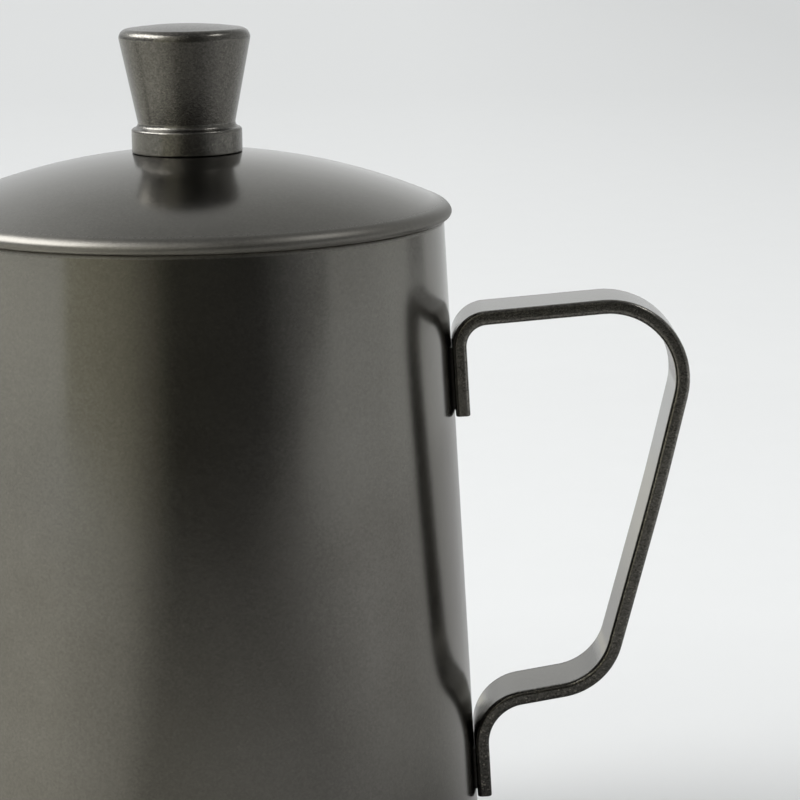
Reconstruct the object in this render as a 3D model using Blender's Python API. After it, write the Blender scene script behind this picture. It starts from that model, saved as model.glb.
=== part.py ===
"""A drip-coffee kettle: tapered pot, gooseneck spout, bent strap handle and a lift-off lid with a knob.

Metres, +Z up. The origin is the middle of the base's underside. The handle is at +X, the spout at -X.
"""

import math

import bmesh
import bpy
from mathutils import Matrix, Vector

# Fits
REST_GAP = 0.0003
SKIRT_CLEARANCE = 0.0005
SCREW_CLEARANCE = 0.0002

# Pot: the wall's straight line runs from the base radius at the floor to the top radius at the mouth.
# A sheet's bends are given by their inside radius.
BODY_HEIGHT = 0.1104
BASE_RADIUS = 0.0442
TOP_RADIUS = 0.0388
BODY_SHEET = 0.0007
CORNER_BEND = 0.0018
FOOT_WIDTH = 0.0045
SHOULDER_BEND = 0.0002
MOUTH_LAND = 0.0004
LIP_BEND = 0.0003
LIP_DEPTH = 0.0040

# Base plate: its rim lies on the shell's turned-in foot and its middle is pressed down level with the floor
BASE_SHEET = 0.0008
BASE_LAP = 0.0030
BASE_STEP_RUN = 0.0010
BASE_STEP_ROOM = 0.0010

# Spout: a tapered tube that leaves the wall low down, climbs, and turns outwards at the mouth's height
SPOUT_ROOT_HEIGHT = 0.0300
SPOUT_ROOT_RADIUS = 0.0080
SPOUT_TIP_RADIUS = 0.0044
SPOUT_SHEET = 0.0007
SPOUT_ROOT_INSET = 0.0120
SPOUT_ROOT_RUN = 0.0250
SPOUT_ROOT_RISE = math.radians(20)
SPOUT_NECK_LEAN = math.radians(13)
SPOUT_TIP_DROP = 0.0012
SPOUT_BEAK_RUN = 0.0370
SPOUT_BEAK_FALL = math.radians(7)
SPOUT_LOWER_BEND = 0.0330
SPOUT_UPPER_BEND = 0.0270
SPOUT_TIP_CUT = math.radians(32)
SPOUT_TIP_CUT_RUN = 0.0120
SPOUT_HOLE_STEP = 0.0006
SPOUT_RING_STEP = 0.0040
SPOUT_BEND_STEP = math.radians(3)

# Handle: a flat strip, its bends measured at the middle of its thickness; its grip bows out a little
STRAP_WIDTH = 0.0120
STRAP_THICKNESS = 0.0022
STRAP_EDGE_ROUND = 0.0007
STRAP_EDGE_STEPS = 2
HANDLE_TOP_DROP = 0.0151
HANDLE_BOTTOM_HEIGHT = 0.03445
HANDLE_REACH = 0.0372
TOP_RUN_RISE = math.radians(4.7)
LOWER_RUN_RISE = math.radians(9.9)
GRIP_LEAN = math.radians(14.0)
GRIP_BOW = 0.00045
GRIP_BOW_BEND = 0.4
UPPER_TAB_LENGTH = 0.0148
LOWER_TAB_LENGTH = 0.0148
UPPER_TAB_BEND = 0.0044
GRIP_TOP_BEND = 0.0113
GRIP_LOWER_BEND = 0.0100
LOWER_TAB_BEND = 0.0074

# Lid: heights are above the pot's mouth
LID_SHEET = 0.0006
LID_OVERHANG = 0.0012
HEM_BEND = 0.00045
HEM_SETBACK = 0.0006
DOME_RISE = 0.0095
SKIRT_SHEET = 0.0006
SKIRT_DEPTH = 0.0090
SKIRT_BEND = 0.0008

# Knob: heights are above its own foot
KNOB_HEIGHT = 0.0189
KNOB_COLLAR_RADIUS = 0.00836
KNOB_COLLAR_HEIGHT = 0.0033
KNOB_COLLAR_ROUND = 0.0005
KNOB_NECK_RADIUS = 0.00725
KNOB_NECK_RISE = 0.0003
KNOB_NECK_ROUND = 0.0008
KNOB_TOP_RADIUS = 0.0102
KNOB_CROWN_ROUND = 0.0014
KNOB_CROWN_RISE = 0.0006
KNOB_SEAT_INSET = 0.0005

# Screw and washers
SCREW_RADIUS = 0.0020
SCREW_LENGTH = 0.0120
SCREW_TIP_ROOM = 0.0012
SCREW_HEAD_RADIUS = 0.0039
SCREW_HEAD_HEIGHT = 0.0024
SCREW_HEAD_ROUND = 0.0010
SCREW_SLOT_WIDTH = 0.0010
SCREW_SLOT_LENGTH = 0.0042
SCREW_SLOT_DEPTH = 0.0014
LOCK_WASHER_WIDTH = 0.0013
LOCK_WASHER_THICKNESS = 0.0010
LOCK_WASHER_SPLIT = math.radians(20)
FLAT_WASHER_WIDTH = 0.0028
FLAT_WASHER_THICKNESS = 0.0008

# Facets
ROUND_SIDES = 48
SMALL_SIDES = 32
SPOUT_SIDES = 16
BEND_STEP = math.radians(14)
FINE_STEP = math.radians(33)
DOME_STEPS = 8
CROWN_STEPS = 4
SHARP_ANGLE = math.radians(38)

# Finishes: colour, metallic, roughness
COAT_FINISH = ((0.075, 0.070, 0.060), 0.85, 0.38)
STEEL_FINISH = ((0.55, 0.54, 0.52), 1.0, 0.32)

FULL_TURN = 2 * math.pi
WELD = 1e-6

CORNER_ROUND = CORNER_BEND + BODY_SHEET
SHOULDER_ROUND = SHOULDER_BEND + BODY_SHEET
LIP_ROUND = LIP_BEND + BODY_SHEET
HEM_ROUND = HEM_BEND + LID_SHEET

# The wall's slope: radius lost for each metre of height
WALL_SLOPE = (BASE_RADIUS - TOP_RADIUS) / BODY_HEIGHT
WALL_ANGLE = math.atan(WALL_SLOPE)
SHOULDER_Z = BODY_HEIGHT - SHOULDER_ROUND


def wall_radius(z):
    """Outside radius of the pot's straight wall at a height."""
    return BASE_RADIUS - WALL_SLOPE * z


def wall_round_centre(z, radius):
    """Distance from the axis of the centre of a round that touches the wall from inside at a height."""
    return wall_radius(z) - radius / math.cos(WALL_ANGLE)


SHOULDER_CENTRE = wall_round_centre(SHOULDER_Z, SHOULDER_ROUND)
MOUTH_RADIUS = SHOULDER_CENTRE - MOUTH_LAND - LIP_ROUND
FOOT_OUTER = wall_round_centre(CORNER_ROUND, CORNER_ROUND)
FOOT_INNER = FOOT_OUTER - FOOT_WIDTH

NOSE_CENTRE = TOP_RADIUS + LID_OVERHANG - HEM_ROUND
NOSE_Z = REST_GAP + HEM_ROUND
DOME_RADIUS = (NOSE_CENTRE**2 + DOME_RISE**2 - HEM_ROUND**2) / (2 * (DOME_RISE - HEM_ROUND))
DOME_CENTRE_Z = NOSE_Z + DOME_RISE - DOME_RADIUS
DOME_EDGE_ANGLE = math.acos(NOSE_CENTRE / (DOME_RADIUS - HEM_ROUND))
KNOB_SEAT_RADIUS = KNOB_COLLAR_RADIUS - KNOB_SEAT_INSET
KNOB_SEAT_ANGLE = math.acos(KNOB_SEAT_RADIUS / DOME_RADIUS)
KNOB_SEAT_Z = DOME_CENTRE_Z + DOME_RADIUS * math.sin(KNOB_SEAT_ANGLE)
KNOB_FOOT_Z = KNOB_SEAT_Z + REST_GAP

# The screw's stack hangs under the lid's sheet
FLAT_WASHER_TOP = KNOB_SEAT_Z - LID_SHEET - REST_GAP
LOCK_WASHER_TOP = FLAT_WASHER_TOP - FLAT_WASHER_THICKNESS - REST_GAP
SCREW_HEAD_TOP = LOCK_WASHER_TOP - LOCK_WASHER_THICKNESS - REST_GAP
SCREW_TIP_Z = SCREW_HEAD_TOP + SCREW_LENGTH
SCREW_HOLE_RADIUS = SCREW_RADIUS + SCREW_CLEARANCE


def clear_scene():
    for obj in list(bpy.data.objects):
        bpy.data.objects.remove(obj, do_unlink=True)


def make_material(name, colour, metallic, roughness):
    material = bpy.data.materials.new(name)
    material.use_nodes = True
    shader = material.node_tree.nodes["Principled BSDF"]
    shader.inputs["Base Color"].default_value = (*colour, 1.0)
    shader.inputs["Metallic"].default_value = metallic
    shader.inputs["Roughness"].default_value = roughness
    return material


def make_empty(name, location):
    empty = bpy.data.objects.new(name, None)
    empty.location = location
    bpy.context.collection.objects.link(empty)
    return empty


def make_object(name, shape, material, parent=None):
    """A bmesh as a named object, smooth but for its real edges."""
    bmesh.ops.remove_doubles(shape, verts=shape.verts, dist=WELD)
    bmesh.ops.recalc_face_normals(shape, faces=shape.faces)
    mesh = bpy.data.meshes.new(name)
    shape.to_mesh(mesh)
    shape.free()
    mesh.shade_smooth()
    mesh.set_sharp_from_angle(angle=SHARP_ANGLE)
    mesh.materials.append(material)
    obj = bpy.data.objects.new(name, mesh)
    obj.parent = parent
    bpy.context.collection.objects.link(obj)
    return obj


def as_cutter(obj):
    obj.hide_render = True
    obj.display_type = "WIRE"
    return obj


def cut(obj, cutter):
    modifier = obj.modifiers.new("cut_" + cutter.name, "BOOLEAN")
    modifier.operation = "DIFFERENCE"
    modifier.solver = "EXACT"
    modifier.object = cutter


def arc(centre_r, centre_z, radius, start, end, steps=None):
    """Points along an arc in the (r, z) plane, both ends included, angles from +r towards +z."""
    steps = steps or max(2, math.ceil(abs(end - start) / FINE_STEP))
    angles = [start + (end - start) * i / steps for i in range(steps + 1)]
    return [(centre_r + radius * math.cos(a), centre_z + radius * math.sin(a)) for a in angles]


def offset_line(line, distance):
    """The line moved to its left by a distance, with its corners mitred."""
    steps = [Vector(b) - Vector(a) for a, b in zip(line, line[1:])]
    normals = [Vector((-step.y, step.x)).normalized() for step in steps]
    moved = []
    for i, point in enumerate(line):
        before = normals[max(i - 1, 0)]
        after = normals[min(i, len(normals) - 1)]
        mitre = (before + after).normalized()
        moved.append(tuple(Vector(point) + mitre * (distance / mitre.dot(after))))
    return moved


def sheet_outline(line, thickness):
    """The closed outline of a sheet whose one face follows the line and whose other lies to its left."""
    return line + offset_line(line, thickness)[::-1]


def spin(outline, sides, closed=True, turn=FULL_TURN):
    """The solid swept by an outline of (r, z) points about the Z axis."""
    shape = bmesh.new()
    points = [shape.verts.new((r, 0, z)) for r, z in outline]
    edges = [shape.edges.new(pair) for pair in zip(points, points[1:])]
    if closed:
        edges.append(shape.edges.new((points[-1], points[0])))
    geometry = points + edges
    whole = turn == FULL_TURN
    if not whole:
        geometry.append(shape.faces.new(points))
    bmesh.ops.spin(
        shape,
        geom=geometry,
        cent=(0, 0, 0),
        axis=(0, 0, 1),
        angle=turn,
        steps=sides,
        use_merge=whole,
    )
    return shape


def filleted(corners, radii, step=BEND_STEP):
    """A path through corners with each inner one rounded, as points.

    A round is no larger than its two straight runs leave room for: a run between two rounds is shared.
    """
    runs = [(b - a).length for a, b in zip(corners, corners[1:])]
    rooms = [runs[0]] + [run / 2 for run in runs[1:-1]] + [runs[-1]]
    path = [corners[0]]
    for i, radius in enumerate(radii):
        corner = corners[i + 1]
        back = (corners[i] - corner).normalized()
        ahead = (corners[i + 2] - corner).normalized()
        half = back.angle(ahead) / 2
        tangent = min(radius / math.tan(half), rooms[i], rooms[i + 1])
        radius = tangent * math.tan(half)
        centre = corner + (back + ahead).normalized() * (radius / math.sin(half))
        start = corner + back * tangent - centre
        turn = start.angle_signed(corner + ahead * tangent - centre)
        count = max(3, math.ceil(abs(turn) / step))
        for i in range(count + 1):
            path.append(centre + Matrix.Rotation(-turn * i / count, 2) @ start)
    path.append(corners[-1])
    return path


def body_shell(material):
    """The pot's sheet: turned-in foot, straight wall, shoulder, and a lip turned down inside the mouth."""
    line = [(FOOT_INNER, 0)]
    line += arc(FOOT_OUTER, CORNER_ROUND, CORNER_ROUND, -math.pi / 2, WALL_ANGLE)
    line += arc(SHOULDER_CENTRE, SHOULDER_Z, SHOULDER_ROUND, WALL_ANGLE, math.pi / 2)
    lip_centre = (MOUTH_RADIUS + LIP_ROUND, BODY_HEIGHT - LIP_ROUND)
    line += arc(*lip_centre, LIP_ROUND, math.pi / 2, math.pi)
    line.append((MOUTH_RADIUS, BODY_HEIGHT - LIP_DEPTH))
    return make_object("body_shell", spin(sheet_outline(line, BODY_SHEET), ROUND_SIDES), material)


def base_plate(material):
    """A pressed disc whose rim laps the foot from inside, and whose middle reaches the floor."""
    lap_z = BODY_SHEET + REST_GAP
    step_top = FOOT_INNER - BASE_STEP_ROOM
    line = [
        (0, 0),
        (step_top - BASE_STEP_RUN, 0),
        (step_top, lap_z),
        (FOOT_INNER + BASE_LAP, lap_z),
    ]
    outline = sheet_outline(line, BASE_SHEET)
    return make_object("base_plate", spin(outline, ROUND_SIDES, closed=False), material)


def spout_route():
    """The spout's middle line as (distance from the axis, height) points at even steps, and the wall point."""
    root = Vector((wall_radius(SPOUT_ROOT_HEIGHT), SPOUT_ROOT_HEIGHT))
    outwards = Vector((math.cos(SPOUT_ROOT_RISE), math.sin(SPOUT_ROOT_RISE)))
    inside = root - outwards * SPOUT_ROOT_INSET
    lower = root + outwards * (SPOUT_ROOT_RUN / outwards.x)
    upper_z = BODY_HEIGHT - SPOUT_TIP_DROP
    upper = Vector((lower.x + (upper_z - lower.y) * math.tan(SPOUT_NECK_LEAN), upper_z))
    beak = Vector((SPOUT_BEAK_RUN, -SPOUT_BEAK_RUN * math.tan(SPOUT_BEAK_FALL)))
    corners = (inside, lower, upper, upper + beak)
    bends = filleted(corners, (SPOUT_LOWER_BEND, SPOUT_UPPER_BEND), SPOUT_BEND_STEP)
    return even_steps(bends, SPOUT_RING_STEP), root, outwards


def even_steps(path, step):
    """Points along a path at about one spacing, both ends kept."""
    lengths = [0.0]
    for a, b in zip(path, path[1:]):
        lengths.append(lengths[-1] + (b - a).length)
    count = round(lengths[-1] / step)
    points = []
    i = 0
    for k in range(count + 1):
        along = lengths[-1] * k / count
        while i < len(path) - 2 and lengths[i + 1] < along:
            i += 1
        points.append(path[i].lerp(path[i + 1], (along - lengths[i]) / (lengths[i + 1] - lengths[i])))
    return points


def spout_rings(shape, route, inset):
    """Rings of points round the spout's middle line, at its outside or inset by the sheet."""
    last = len(route) - 1
    cut_rings = SPOUT_TIP_CUT_RUN / SPOUT_RING_STEP
    rings = []
    for i, point in enumerate(route):
        along = (route[min(i + 1, last)] - route[max(i - 1, 0)]).normalized()
        over = Vector((-along.y, along.x))
        narrowing = (1 - i / last) ** 2
        radius = SPOUT_TIP_RADIUS + (SPOUT_ROOT_RADIUS - SPOUT_TIP_RADIUS) * narrowing - inset
        slant = math.tan(SPOUT_TIP_CUT) * max(0, 1 - (last - i) / cut_rings)
        ring = []
        for k in range(SPOUT_SIDES):
            turn = FULL_TURN * k / SPOUT_SIDES
            height = radius * math.cos(turn)
            place = point + over * height - along * (slant * height)
            ring.append(shape.verts.new((-place.x, radius * math.sin(turn), place.y)))
        rings.append(ring)
    return rings


def join_rings(shape, first, second):
    for k, vert in enumerate(first):
        after = (k + 1) % len(first)
        shape.faces.new((vert, first[after], second[after], second[k]))


def spout_tube(material, pot):
    """The spout, open at both ends, trimmed to the pot's wall, with a hole through the wall behind it."""
    route, root, outwards = spout_route()
    shape = bmesh.new()
    outside = spout_rings(shape, route, 0)
    inside = spout_rings(shape, route, SPOUT_SHEET)
    for surface in (outside, inside):
        for first, second in zip(surface, surface[1:]):
            join_rings(shape, first, second)
    join_rings(shape, outside[0], inside[0])
    join_rings(shape, outside[-1], inside[-1])
    tube = make_object("spout_tube", shape, material)

    clear = REST_GAP / math.cos(WALL_ANGLE)
    cone = [
        (0, 0),
        (wall_radius(0) + clear, 0),
        (wall_radius(BODY_HEIGHT) + clear, BODY_HEIGHT),
        (0, BODY_HEIGHT),
    ]
    cut(tube, as_cutter(make_object("spout_trim", spin(cone, ROUND_SIDES, closed=False), material)))

    hole_radius = SPOUT_ROOT_RADIUS - SPOUT_SHEET - SPOUT_HOLE_STEP
    shape = bmesh.new()
    bmesh.ops.create_cone(
        shape,
        cap_ends=True,
        segments=SPOUT_SIDES,
        radius1=hole_radius,
        radius2=hole_radius,
        depth=2 * SPOUT_ROOT_RADIUS,
    )
    hole = as_cutter(make_object("spout_hole", shape, material))
    hole.location = (-root.x, 0, root.y)
    hole.rotation_euler = (0, math.atan2(-outwards.x, outwards.y), 0)
    cut(pot, hole)
    return tube


def strap_path():
    """The strap's middle line in the (x, z) plane, from the end of its upper tab to that of its lower tab."""

    def on_wall(z):
        return Vector((wall_radius(z) + REST_GAP + STRAP_THICKNESS / 2, z))

    top = on_wall(BODY_HEIGHT - HANDLE_TOP_DROP)
    bottom = on_wall(HANDLE_BOTTOM_HEIGHT)
    grip_top = top + Vector((HANDLE_REACH, HANDLE_REACH * math.tan(TOP_RUN_RISE)))
    lean = math.tan(GRIP_LEAN)
    rise = math.tan(LOWER_RUN_RISE)
    reach = (grip_top.x - bottom.x - (grip_top.y - bottom.y) * lean) / (1 - rise * lean)
    grip_bottom = bottom + Vector((reach, reach * rise))
    along = (grip_bottom - grip_top).normalized()
    grip_middle = (grip_top + grip_bottom) / 2 + Vector((-along.y, along.x)) * GRIP_BOW
    corners = (
        on_wall(top.y - UPPER_TAB_LENGTH),
        top,
        grip_top,
        grip_middle,
        grip_bottom,
        bottom,
        on_wall(bottom.y - LOWER_TAB_LENGTH),
    )
    bends = (UPPER_TAB_BEND, GRIP_TOP_BEND, GRIP_BOW_BEND, GRIP_LOWER_BEND, LOWER_TAB_BEND)
    return filleted(corners, bends)


def handle_strap(material):
    path = [tuple(point) for point in strap_path()]
    one_side = offset_line(path, STRAP_THICKNESS / 2)
    other_side = offset_line(path, -STRAP_THICKNESS / 2)
    shape = bmesh.new()
    near = -STRAP_WIDTH / 2
    left = [shape.verts.new((x, near, z)) for x, z in one_side]
    right = [shape.verts.new((x, near, z)) for x, z in other_side]
    strip = [
        shape.faces.new((left[i], left[i + 1], right[i + 1], right[i])) for i in range(len(path) - 1)
    ]
    swept = bmesh.ops.extrude_face_region(shape, geom=strip, use_keep_orig=True)["geom"]
    moved = [item for item in swept if isinstance(item, bmesh.types.BMVert)]
    bmesh.ops.translate(shape, verts=moved, vec=(0, STRAP_WIDTH, 0))
    strap = make_object("handle_strap", shape, material)
    bevel = strap.modifiers.new("edge_round", "BEVEL")
    bevel.width = STRAP_EDGE_ROUND
    bevel.segments = STRAP_EDGE_STEPS
    bevel.limit_method = "ANGLE"
    bevel.angle_limit = SHARP_ANGLE
    return strap


def lid_dome(material, lid):
    """The lid's sheet: hem under the rim, rolled nose, dome, and a flat seat with the screw's hole."""
    line = [(MOUTH_RADIUS + HEM_SETBACK, REST_GAP)]
    line += arc(NOSE_CENTRE, NOSE_Z, HEM_ROUND, -math.pi / 2, DOME_EDGE_ANGLE)
    line += arc(0, DOME_CENTRE_Z, DOME_RADIUS, DOME_EDGE_ANGLE, KNOB_SEAT_ANGLE, DOME_STEPS)[1:]
    line.append((SCREW_HOLE_RADIUS, KNOB_SEAT_Z))
    return make_object("lid_dome", spin(sheet_outline(line, LID_SHEET), ROUND_SIDES), material, lid)


def lid_skirt(material, lid):
    """The ring that hangs in the mouth, with a flange held in the lid's folded rim."""
    radius = MOUTH_RADIUS - SKIRT_CLEARANCE
    flange_z = REST_GAP + LID_SHEET + REST_GAP
    line = [(radius, -SKIRT_DEPTH)]
    line += arc(radius + SKIRT_BEND, flange_z - SKIRT_BEND, SKIRT_BEND, math.pi, math.pi / 2)
    # The flange runs out into the fold as far as the dome's underside leaves room over it
    under_dome = flange_z + SKIRT_SHEET + REST_GAP - DOME_CENTRE_Z
    under_dome_radius = math.sqrt((DOME_RADIUS - LID_SHEET) ** 2 - under_dome**2)
    line.append((min(NOSE_CENTRE, under_dome_radius) - REST_GAP, flange_z))
    return make_object("lid_skirt", spin(sheet_outline(line, SKIRT_SHEET), ROUND_SIDES), material, lid)


def lid_knob(material, lid):
    """A turned knob: collar, neck, widening cone and rounded crown, with a blind hole for the screw."""
    foot = KNOB_FOOT_Z
    collar_top = foot + KNOB_COLLAR_HEIGHT
    neck_z = collar_top + KNOB_NECK_RISE
    crown_z = foot + KNOB_HEIGHT - KNOB_CROWN_RISE
    cone_angle = math.atan((KNOB_TOP_RADIUS - KNOB_NECK_RADIUS) / (crown_z - neck_z))
    crown_reach = KNOB_CROWN_ROUND * (1 + math.sin(cone_angle)) / math.cos(cone_angle)
    crown_centre = KNOB_TOP_RADIUS - crown_reach
    crown_radius = (crown_centre**2 + KNOB_CROWN_RISE**2) / (2 * KNOB_CROWN_RISE)
    crown_start = math.acos(crown_centre / crown_radius)

    outline = [(0, SCREW_TIP_Z + SCREW_TIP_ROOM)]
    outline.append((SCREW_HOLE_RADIUS, SCREW_TIP_Z + SCREW_TIP_ROOM))
    outline.append((SCREW_HOLE_RADIUS, foot))
    outline.append((KNOB_COLLAR_RADIUS, foot))
    collar_round = (KNOB_COLLAR_RADIUS - KNOB_COLLAR_ROUND, collar_top - KNOB_COLLAR_ROUND)
    outline += arc(*collar_round, KNOB_COLLAR_ROUND, 0, math.pi / 2)
    neck = (Vector(outline[-1]), Vector((KNOB_NECK_RADIUS, neck_z)), Vector((KNOB_TOP_RADIUS, crown_z)))
    outline += [tuple(point) for point in filleted(neck, (KNOB_NECK_ROUND,), FINE_STEP)[1:-1]]
    crown_round = (crown_centre, crown_z - KNOB_CROWN_ROUND)
    outline += arc(*crown_round, KNOB_CROWN_ROUND, -cone_angle, math.pi / 2)
    crown_middle = foot + KNOB_HEIGHT - crown_radius
    outline += arc(0, crown_middle, crown_radius, crown_start, math.pi / 2, CROWN_STEPS)[1:]
    return make_object("lid_knob", spin(outline, ROUND_SIDES, closed=False), material, lid)


def washer_outline(width, thickness, top):
    inner = SCREW_HOLE_RADIUS
    return [(inner, top), (inner + width, top), (inner + width, top - thickness), (inner, top - thickness)]


def knob_flat_washer(material, lid):
    outline = washer_outline(FLAT_WASHER_WIDTH, FLAT_WASHER_THICKNESS, FLAT_WASHER_TOP)
    return make_object("knob_flat_washer", spin(outline, SMALL_SIDES), material, lid)


def knob_lock_washer(material, lid):
    """A split ring."""
    outline = washer_outline(LOCK_WASHER_WIDTH, LOCK_WASHER_THICKNESS, LOCK_WASHER_TOP)
    shape = spin(outline, SMALL_SIDES, turn=FULL_TURN - LOCK_WASHER_SPLIT)
    return make_object("knob_lock_washer", shape, material, lid)


def knob_screw(material, lid):
    """A round-headed screw, head down, with a cross slot."""
    head_bottom = SCREW_HEAD_TOP - SCREW_HEAD_HEIGHT
    outline = [(0, SCREW_TIP_Z), (SCREW_RADIUS, SCREW_TIP_Z), (SCREW_RADIUS, SCREW_HEAD_TOP)]
    outline.append((SCREW_HEAD_RADIUS, SCREW_HEAD_TOP))
    head_round = (SCREW_HEAD_RADIUS - SCREW_HEAD_ROUND, head_bottom + SCREW_HEAD_ROUND)
    outline += arc(*head_round, SCREW_HEAD_ROUND, 0, -math.pi / 2)
    outline.append((0, head_bottom))
    screw = make_object("knob_screw", spin(outline, SMALL_SIDES, closed=False), material, lid)
    for name, turn in (("slot_along", 0), ("slot_across", math.pi / 2)):
        shape = bmesh.new()
        bmesh.ops.create_cube(shape, size=1)
        size = (SCREW_SLOT_LENGTH, SCREW_SLOT_WIDTH, 2 * SCREW_SLOT_DEPTH)
        bmesh.ops.scale(shape, verts=shape.verts, vec=size)
        slot = as_cutter(make_object(name, shape, material, lid))
        slot.location = (0, 0, head_bottom)
        slot.rotation_euler = (0, 0, turn)
        cut(screw, slot)
    return screw


def build():
    clear_scene()
    coat = make_material("dark_coated_steel", *COAT_FINISH)
    bare = make_material("bare_steel", *STEEL_FINISH)

    pot = body_shell(coat)
    base_plate(coat)
    spout_tube(coat, pot)
    handle_strap(coat)

    lid = make_empty("lid", (0, 0, BODY_HEIGHT))
    lid_dome(coat, lid)
    lid_skirt(bare, lid)
    lid_knob(coat, lid)
    knob_flat_washer(bare, lid)
    knob_lock_washer(bare, lid)
    knob_screw(bare, lid)


build()
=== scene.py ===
"""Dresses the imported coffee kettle.

Smooth pieces in coated and bare steel lie over the solids, on a pale table in soft light.
"""

import math

import bmesh
import bpy
from mathutils import Matrix, Vector


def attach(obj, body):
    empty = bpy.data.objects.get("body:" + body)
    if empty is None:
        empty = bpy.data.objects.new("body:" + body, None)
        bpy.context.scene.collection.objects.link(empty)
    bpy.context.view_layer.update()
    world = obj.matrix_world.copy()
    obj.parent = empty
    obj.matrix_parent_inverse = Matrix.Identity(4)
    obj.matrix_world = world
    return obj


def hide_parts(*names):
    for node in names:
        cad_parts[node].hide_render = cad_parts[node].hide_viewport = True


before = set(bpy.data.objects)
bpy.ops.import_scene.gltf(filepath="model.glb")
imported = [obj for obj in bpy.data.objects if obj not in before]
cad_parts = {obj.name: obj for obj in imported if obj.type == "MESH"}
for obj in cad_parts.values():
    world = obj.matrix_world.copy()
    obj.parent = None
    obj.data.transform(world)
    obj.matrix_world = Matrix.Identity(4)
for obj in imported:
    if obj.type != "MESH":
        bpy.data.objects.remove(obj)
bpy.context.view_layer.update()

# Sizes in metres, the same as the solids'
REST_GAP = 0.0003
SKIRT_CLEARANCE = 0.0005
SCREW_CLEARANCE = 0.0002

BODY_HEIGHT = 0.1104
BASE_RADIUS = 0.0442
TOP_RADIUS = 0.0388
BODY_SHEET = 0.0007
CORNER_BEND = 0.0018
FOOT_WIDTH = 0.0045
SHOULDER_BEND = 0.0002
MOUTH_LAND = 0.0004
LIP_BEND = 0.0003
LIP_DEPTH = 0.0040
BASE_SHEET = 0.0008
BASE_LAP = 0.0030
BASE_STEP_RUN = 0.0010
BASE_STEP_ROOM = 0.0010

SPOUT_ROOT_HEIGHT = 0.0300
SPOUT_ROOT_RADIUS = 0.0080
SPOUT_TIP_RADIUS = 0.0044
SPOUT_SHEET = 0.0007
SPOUT_ROOT_INSET = 0.0120
SPOUT_ROOT_RUN = 0.0250
SPOUT_ROOT_RISE = math.radians(20)
SPOUT_NECK_LEAN = math.radians(13)
SPOUT_TIP_DROP = 0.0012
SPOUT_BEAK_RUN = 0.0370
SPOUT_BEAK_FALL = math.radians(7)
SPOUT_LOWER_BEND = 0.0330
SPOUT_UPPER_BEND = 0.0270
SPOUT_TIP_CUT = math.radians(32)
SPOUT_TIP_CUT_RUN = 0.0120
SPOUT_HOLE_STEP = 0.0006

STRAP_WIDTH = 0.0120
STRAP_THICKNESS = 0.0022
STRAP_EDGE_ROUND = 0.0007
HANDLE_TOP_DROP = 0.0151
HANDLE_BOTTOM_HEIGHT = 0.03445
HANDLE_REACH = 0.0372
TOP_RUN_RISE = math.radians(4.7)
LOWER_RUN_RISE = math.radians(9.9)
GRIP_LEAN = math.radians(14.0)
GRIP_BOW = 0.00045
GRIP_BOW_BEND = 0.4
UPPER_TAB_LENGTH = 0.0148
LOWER_TAB_LENGTH = 0.0148
UPPER_TAB_BEND = 0.0044
GRIP_TOP_BEND = 0.0113
GRIP_LOWER_BEND = 0.0100
LOWER_TAB_BEND = 0.0074

LID_SHEET = 0.0006
LID_OVERHANG = 0.0012
HEM_BEND = 0.00045
HEM_SETBACK = 0.0006
DOME_RISE = 0.0095
SKIRT_SHEET = 0.0006
SKIRT_DEPTH = 0.0090
SKIRT_BEND = 0.0008

KNOB_HEIGHT = 0.0189
KNOB_COLLAR_RADIUS = 0.00836
KNOB_COLLAR_HEIGHT = 0.0033
KNOB_COLLAR_ROUND = 0.0005
KNOB_NECK_RADIUS = 0.00725
KNOB_NECK_RISE = 0.0003
KNOB_NECK_ROUND = 0.0008
KNOB_TOP_RADIUS = 0.0102
KNOB_CROWN_ROUND = 0.0014
KNOB_CROWN_RISE = 0.0006
KNOB_SEAT_INSET = 0.0005

SCREW_RADIUS = 0.0020
SCREW_LENGTH = 0.0120
SCREW_TIP_ROOM = 0.0012
SCREW_HEAD_RADIUS = 0.0039
SCREW_HEAD_HEIGHT = 0.0024
SCREW_HEAD_ROUND = 0.0010
SCREW_SLOT_WIDTH = 0.0010
SCREW_SLOT_LENGTH = 0.0042
SCREW_SLOT_DEPTH = 0.0014
LOCK_WASHER_WIDTH = 0.0013
LOCK_WASHER_THICKNESS = 0.0010
LOCK_WASHER_SPLIT = math.radians(20)
FLAT_WASHER_WIDTH = 0.0028
FLAT_WASHER_THICKNESS = 0.0008

# Sizes that only the dress has. Pieces that touch in the photo lie TOUCH apart
TOUCH = 0.00005
CUT_EDGE = 0.0002
LID_EDGE = 0.0001
WASHER_EDGE = 0.00015
RIM_CORNER = 0.00045
BASE_LOWER_ROUND = 0.0012
BASE_UPPER_ROUND = 0.0004
SPOUT_WELD_RADIUS = 0.0010
PAD_SETBACK = 0.0018
PAD_END = 0.0008
PAD_SINK = 0.0001
# Share of the solid's slant at the spout's mouth
MOUTH_EASE = 0.96
# The lid's rim as seen: a small nose below, and a larger round above it that runs into the dome
LID_NOSE = 0.00085
LID_BROW = 0.0025
BROW_TURN = math.radians(30)

# Counts of sides, rows and steps
POT_SIDES = 192
LID_SIDES = 192
KNOB_SIDES = 192
SMALL_SIDES = 96
SPOUT_SIDES = 64
BEAD_SIDES = 16
SPOUT_RINGS = 110
BEAD_RINGS = 96
WALL_ROWS = 14
DOME_ROWS = 28
CROWN_ROWS = 12
BEND_STEPS = 8
SPOUT_BEND_STEPS = 24
STRAP_BEND_STEPS = 20
STRAP_EDGE_STEPS = 6
STRAP_END_STEPS = 2
ROUND_STEPS = 14
PAD_STEPS = 6
HALVINGS = 40
# The wall's rows begin this many rounds away from its bends
WALL_ROUNDS_CLEAR = 3
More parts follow.
